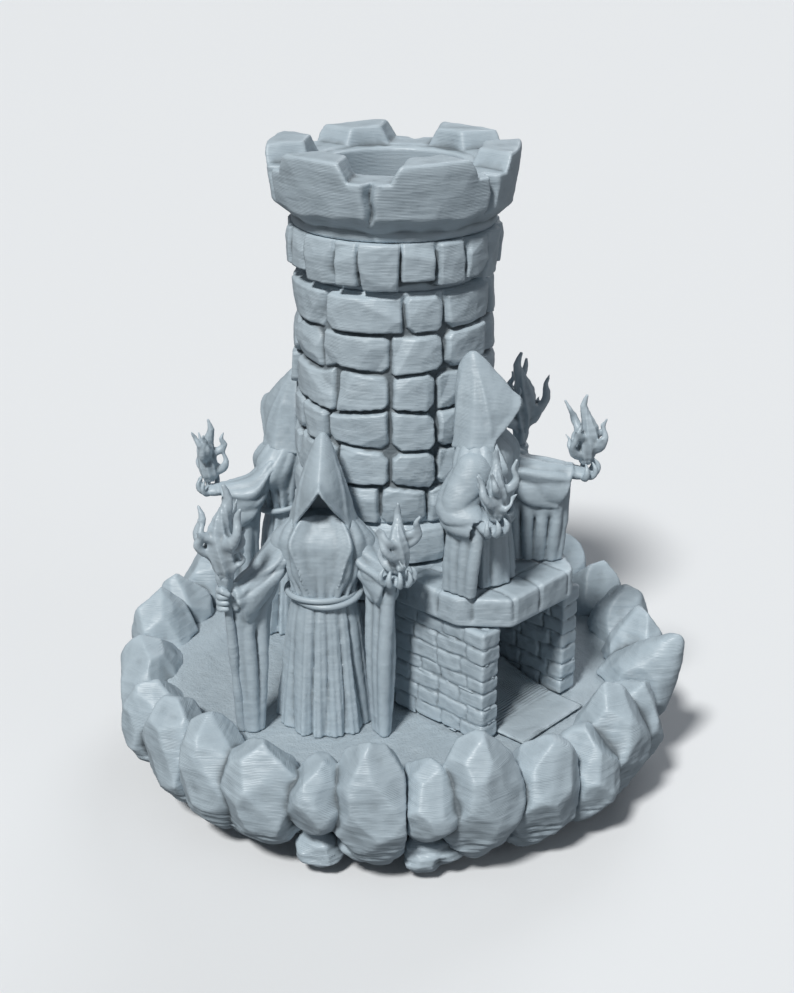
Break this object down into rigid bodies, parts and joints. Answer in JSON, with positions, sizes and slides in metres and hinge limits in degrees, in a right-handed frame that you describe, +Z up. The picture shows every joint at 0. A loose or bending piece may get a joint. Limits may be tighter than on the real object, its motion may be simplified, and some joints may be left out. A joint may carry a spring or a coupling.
{
  "type": "dice tower",
  "caption": "Printed dice tower: a round stone keep with an open top, inner baffles and a square gate, standing in a boulder-rimmed tray among hooded figures that hold fire.",
  "frame": {"origin": "on the tower's axis, in the plane of the tray's flat underside", "axes": "+Z up along the tower's axis; -Y is the front, towards the picture's camera; +X is to the viewer's right"},
  "size_m": [0.2032, 0.2014, 0.221],
  "materials": {
    "tray_plastic": "matte, printed, fine layer lines",
    "rock_plastic": "satin, printed, fine layer lines",
    "stone_plastic": "satin, printed, fine layer lines",
    "figure_plastic": "satin, printed, fine layer lines",
    "flame_plastic": "satin, printed, fine layer lines"
  },
  "bodies": {
    "tray": {"front_mage_arm_left": "figure_plastic", "front_mage_arm_right": "figure_plastic", "front_mage_belt": "figure_plastic", "front_mage_flame_left": "flame_plastic", "front_mage_flame_right": "flame_plastic", "front_mage_hood": "figure_plastic", "front_mage_robe": "figure_plastic", "front_mage_staff": "figure_plastic", "left_mage_arm_left": "figure_plastic", "left_mage_arm_right": "figure_plastic", "left_mage_belt": "figure_plastic", "left_mage_flame_left": "flame_plastic", "left_mage_flame_right": "flame_plastic", "left_mage_hood": "figure_plastic", "left_mage_robe": "figure_plastic", "left_mage_staff": "figure_plastic", "rear_mage_arm_left": "figure_plastic", "rear_mage_arm_right": "figure_plastic", "rear_mage_belt": "figure_plastic", "rear_mage_flame_left": "flame_plastic", "rear_mage_flame_right": "flame_plastic", "rear_mage_hood": "figure_plastic", "rear_mage_robe": "figure_plastic", "rear_mage_staff": "figure_plastic", "rim_1": "rock_plastic", "rim_2": "rock_plastic", "rim_3": "rock_plastic", "rim_4": "rock_plastic", "rim_5": "rock_plastic", "rim_6": "rock_plastic", "rim_7": "rock_plastic", "rim_8": "rock_plastic", "tray_dish": "tray_plastic"},
    "tower": {"baffle_lower": "tray_plastic", "baffle_middle": "tray_plastic", "baffle_upper": "tray_plastic", "corbel_course": "stone_plastic", "crown": "stone_plastic", "exit_ramp": "tray_plastic", "gate_mage_arm_left": "figure_plastic", "gate_mage_arm_right": "figure_plastic", "gate_mage_belt": "figure_plastic", "gate_mage_flame_left": "flame_plastic", "gate_mage_flame_right": "flame_plastic", "gate_mage_hood": "figure_plastic", "gate_mage_robe": "figure_plastic", "gate_slab": "stone_plastic", "gate_wall_left": "stone_plastic", "gate_wall_right": "stone_plastic", "shaft_lower": "stone_plastic", "shaft_upper": "stone_plastic"}
  },
  "joints": [
    {"name": "tower_lift", "type": "slide", "parent": "tray", "child": "tower", "axis": [0, 0, 1], "range_m": [0, 0.12]}
  ]
}
